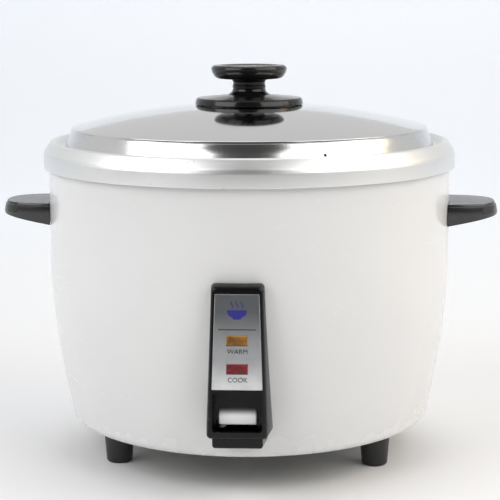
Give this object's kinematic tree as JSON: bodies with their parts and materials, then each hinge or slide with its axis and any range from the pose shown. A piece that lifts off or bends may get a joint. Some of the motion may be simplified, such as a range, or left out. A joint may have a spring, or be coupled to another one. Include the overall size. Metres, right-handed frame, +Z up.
{
  "type": "rice cooker",
  "caption": "Electric rice cooker: white steel drum with an inner pan, domed steel lid with knob, side handles, feet, and a front panel with lamps and a cook lever.",
  "frame": {"origin": "on the floor, under the middle of the drum", "axes": "+Z up, -Y out of the front with the switch housing, +X towards the right-hand handle"},
  "size_m": [0.351, 0.3158, 0.2735],
  "materials": {
    "white_paint": "gloss",
    "rim_aluminium": "satin",
    "stainless": "polished",
    "black_plastic": "gloss",
    "face_metal": "satin",
    "amber_lens": "gloss",
    "red_lens": "gloss",
    "pale_plastic": "gloss",
    "black_steel": "matte",
    "zinc_steel": "satin",
    "cast_aluminium": "satin",
    "ferrite": "matte",
    "brass": "satin",
    "lamp_glass": "gloss",
    "fibre": "matte",
    "silicone": "satin"
  },
  "bodies": {
    "cooker_body": {"outer_shell": "white_paint", "foot_1": "black_plastic", "foot_2": "black_plastic", "foot_3": "black_plastic", "right_handle": "black_plastic", "left_handle": "black_plastic", "switch_housing": "black_plastic", "inlet_housing": "black_plastic", "inlet_socket": "black_plastic", "microswitch": "black_plastic", "warm_thermostat": "black_plastic", "face_plate": "face_metal", "amber_lens": "amber_lens", "red_lens": "red_lens", "terminal_block": "pale_plastic", "base_plate": "black_steel", "foot_screw_1": "zinc_steel", "foot_screw_2": "zinc_steel", "foot_screw_3": "zinc_steel", "liner_post_1": "zinc_steel", "liner_post_2": "zinc_steel", "liner_post_3": "zinc_steel", "inner_liner": "zinc_steel", "right_handle_screw_1": "zinc_steel", "right_handle_screw_2": "zinc_steel", "left_handle_screw_1": "zinc_steel", "left_handle_screw_2": "zinc_steel", "lever_bracket": "zinc_steel", "bracket_screw_1": "zinc_steel", "bracket_screw_2": "zinc_steel", "pivot_pin": "zinc_steel", "pin_clip": "zinc_steel", "sensor_holder": "zinc_steel", "holder_screw_1": "zinc_steel", "holder_screw_2": "zinc_steel", "cap_spring": "zinc_steel", "magnet_spring": "zinc_steel", "heating_plate": "cast_aluminium", "inlet_pin_1": "brass", "inlet_pin_2": "brass", "amber_lamp": "lamp_glass", "red_lamp": "lamp_glass", "lamp_board": "fibre", "warm_heater_band": "fibre", "thermal_fuse": "fibre", "inlet_wire": "silicone", "element_wire": "silicone", "switch_wire": "silicone"},
    "pan": {"inner_pan": "rim_aluminium"},
    "lid": {"lid_shell": "stainless", "knob_guard": "black_plastic", "lid_knob": "black_plastic", "knob_screw": "zinc_steel"},
    "lever": {"cook_lever_paddle": "pale_plastic", "lever_arm": "zinc_steel"},
    "magnet": {"magnet": "ferrite", "magnet_stem": "brass"},
    "sensor": {"sensor_cap": "cast_aluminium", "ferrite_disc": "ferrite"},
    "plunger": {"switch_plunger": "amber_lens"}
  },
  "joints": [
    {"name": "pan_lift", "type": "slide", "parent": "cooker_body", "child": "pan", "axis": [0, 0, 1], "range_m": [0, 0.16]},
    {"name": "lid_lift", "type": "slide", "parent": "pan", "child": "lid", "axis": [0, 0, 1], "range_m": [0, 0.08]},
    {"name": "lever_press", "type": "hinge", "parent": "cooker_body", "child": "lever", "pos_m": [0, -0.085, 0.0468], "axis": [1, 0, 0], "range_deg": [0, 5.5], "stiffness_Nm_per_rad": 0.8, "springref_deg": -5.73},
    {"name": "magnet_rise", "type": "slide", "parent": "cooker_body", "child": "magnet", "axis": [0, 0, 1], "range_m": [0, 0.0082], "deforming": ["magnet_spring"]},
    {"name": "plunger_push", "type": "slide", "parent": "cooker_body", "child": "plunger", "axis": [0, 0, 1], "range_m": [0, 0.0015]},
    {"name": "sensor_cap_press", "type": "slide", "parent": "cooker_body", "child": "sensor", "axis": [0, 0, 1], "range_m": [-0.0012, 0], "stiffness_N_per_m": 300, "springref_m": 0.01, "deforming": ["cap_spring"]}
  ],
  "couplings": [
    {"joint": "magnet_rise", "follows": "lever_press", "m_per_rad": 0.085},
    {"joint": "plunger_push", "follows": "lever_press", "m_per_rad": 0.015}
  ]
}
